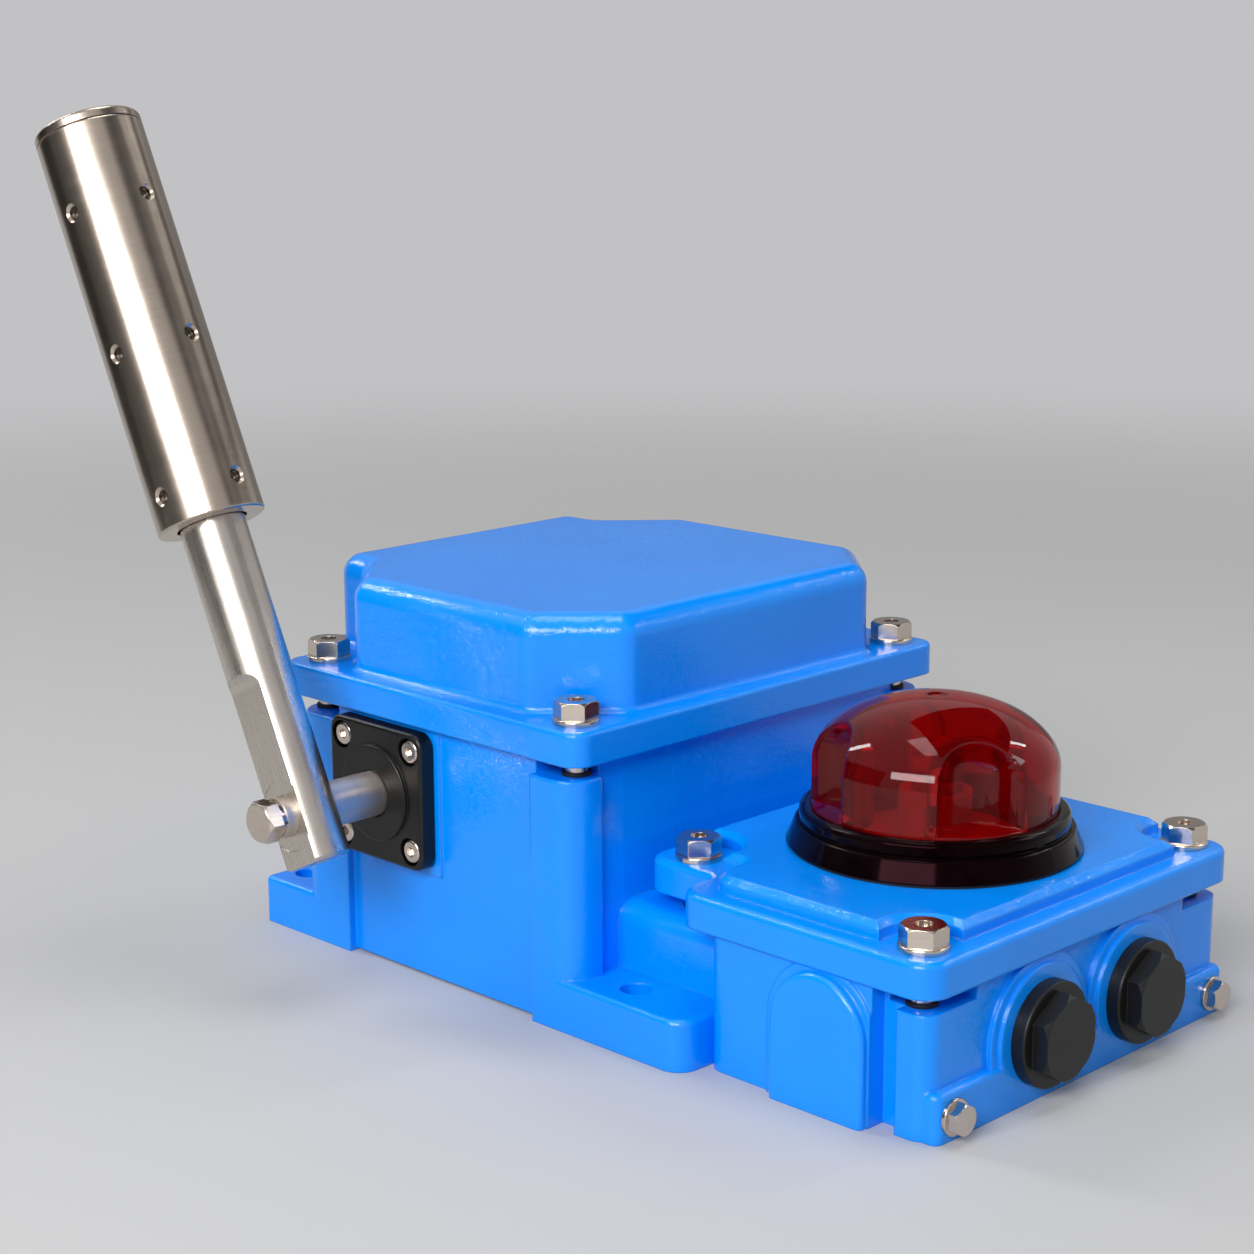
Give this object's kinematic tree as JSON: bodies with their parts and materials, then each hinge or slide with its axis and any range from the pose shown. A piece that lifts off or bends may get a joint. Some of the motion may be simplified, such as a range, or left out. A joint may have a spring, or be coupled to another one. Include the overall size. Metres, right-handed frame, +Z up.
{
  "type": "belt misalignment switch",
  "caption": "Cast enclosure with a sprung lever that carries a free roller, bolted covers, a domed warning lamp, plugged cable entries and foot holes for bolting down.",
  "frame": {"origin": "centre of the four mounting holes, on the underside of the feet", "axes": "+Z up from the mounting surface, +X from the switch chamber towards the terminal box, the lever shaft leaves the -Y side"},
  "size_m": [0.2805, 0.1824, 0.2265],
  "materials": {
    "blue_enamel": "glossy stoved enamel on a casting",
    "stainless_steel": "turned and brushed",
    "spring_steel": "dark oiled",
    "plated_steel": "zinc plated",
    "black_anodised": "satin black",
    "black_nylon": "satin moulded",
    "black_rubber": "matte",
    "dark_gloss_ring": "high gloss, near black with a red tint",
    "red_lens": "clear red, polished",
    "clear_bulb": "clear",
    "bronze": "sintered",
    "brass_screw": "bright",
    "white_polymer": "moulded",
    "grey_polymer": "moulded",
    "switch_black": "moulded"
  },
  "bodies": {
    "base": {"housing": "blue_enamel", "main_cover": "blue_enamel", "terminal_cover": "blue_enamel", "main_cover_cord": "black_rubber", "terminal_cover_cord": "black_rubber", "bearing_flange_gasket": "black_rubber", "main_cover_captive_rings": "black_rubber", "terminal_cover_captive_rings": "black_rubber", "shaft_seal": "black_rubber", "lamp_gasket": "black_rubber", "cable_plug_seals": "black_rubber", "main_cover_bolts": "stainless_steel", "main_cover_washers": "stainless_steel", "terminal_cover_bolts": "stainless_steel", "terminal_cover_washers": "stainless_steel", "bearing_flange_screws": "stainless_steel", "earth_screws": "stainless_steel", "earth_washers": "stainless_steel", "bearing_flange": "black_anodised", "shaft_bush": "bronze", "rear_bush": "bronze", "mechanism_frame": "plated_steel", "frame_screws": "plated_steel", "return_spring": "spring_steel", "microswitch_warning": "switch_black", "microswitch_stop": "switch_black", "microswitch_arms": "spring_steel", "microswitch_rollers": "white_polymer", "microswitch_screws": "plated_steel", "lamp_base_ring": "dark_gloss_ring", "lamp_screws": "plated_steel", "lamp_holder": "white_polymer", "lamp_bulb": "clear_bulb", "lamp_lens": "red_lens", "cable_plugs": "black_nylon", "terminal_block": "grey_polymer", "terminal_screws": "brass_screw", "terminal_block_screws": "plated_steel"},
    "lever": {"lever_shaft": "stainless_steel", "shaft_retaining_ring": "spring_steel", "lever_arm": "stainless_steel", "lever_spring_washer": "stainless_steel", "lever_bolt": "stainless_steel", "lever_set_screw": "spring_steel", "roller_retaining_ring": "spring_steel", "drive_collar": "plated_steel", "collar_screw": "spring_steel", "cam_warning": "white_polymer", "cam_stop": "white_polymer", "cam_screws": "spring_steel"},
    "roller": {"roller_tube": "stainless_steel", "roller_cap": "stainless_steel", "roller_bushes": "bronze", "roller_grub_screws": "spring_steel"}
  },
  "joints": [
    {"name": "lever_swing", "type": "hinge", "parent": "base", "child": "lever", "pos_m": [-0.0185, -0.097, 0.0493], "axis": [0, 1, 0], "range_deg": [-70, 70], "stiffness_Nm_per_rad": 6, "springref_deg": 2.69},
    {"name": "roller_spin", "type": "hinge", "parent": "lever", "child": "roller", "pos_m": [-0.0185, -0.097, 0.0493], "axis": [-0.4384, 0, 0.8988], "continuous": true}
  ]
}
